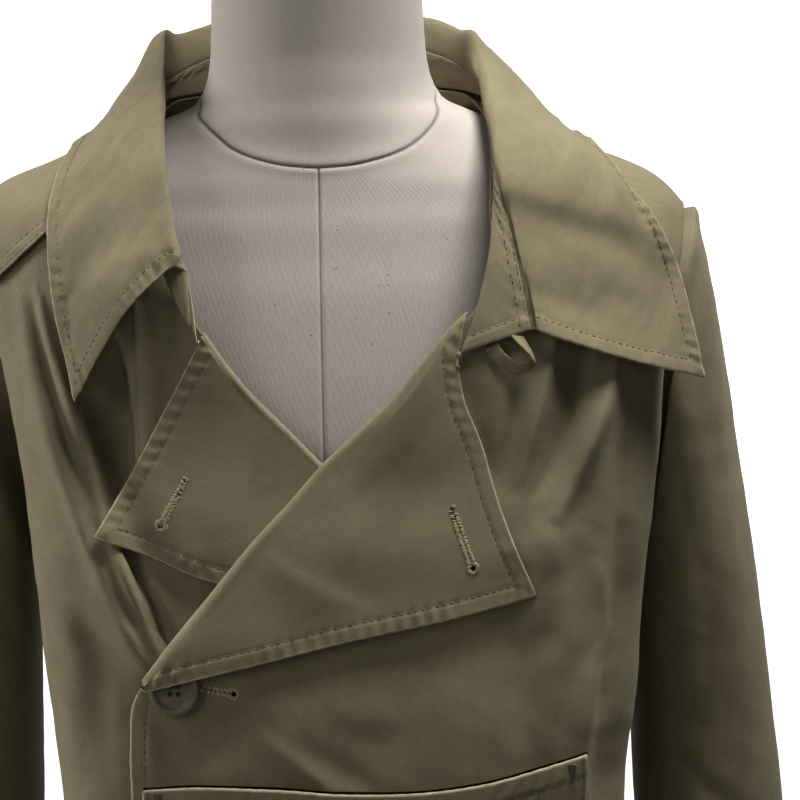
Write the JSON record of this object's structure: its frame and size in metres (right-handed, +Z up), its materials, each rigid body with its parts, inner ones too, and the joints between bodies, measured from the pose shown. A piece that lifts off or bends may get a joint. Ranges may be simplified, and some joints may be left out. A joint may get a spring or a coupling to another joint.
{
  "type": "trench coat on a dress form with a stand",
  "caption": "Double-breasted cotton trench coat with a wide open collar and turned-back lapels, worn on a limbless dress form on a pole and round base.",
  "frame": {"origin": "centre of the stand base's flat underside, on the floor", "axes": "+Z up, the coat's front faces -Y, the wearer's left arm is at +X"},
  "size_m": [0.552, 0.3639, 1.56],
  "materials": {
    "cotton_drill": "matt olive-khaki cotton twill",
    "linen_cover": "matt grey-beige linen",
    "painted_steel": "satin dark grey paint",
    "cast_resin": "semi-matt grey-olive cast resin"
  },
  "bodies": {
    "root": {"back": "cotton_drill", "collar_fall": "cotton_drill", "collar_stand": "cotton_drill", "front_left": "cotton_drill", "front_right": "cotton_drill", "lapel_left": "cotton_drill", "lapel_right": "cotton_drill", "pocket": "cotton_drill", "sleeve_left": "cotton_drill", "sleeve_right": "cotton_drill", "throat_loop": "cotton_drill", "button": "cast_resin", "form_torso": "linen_cover", "stand_base": "painted_steel", "stand_pole": "painted_steel"}
  },
  "joints": []
}
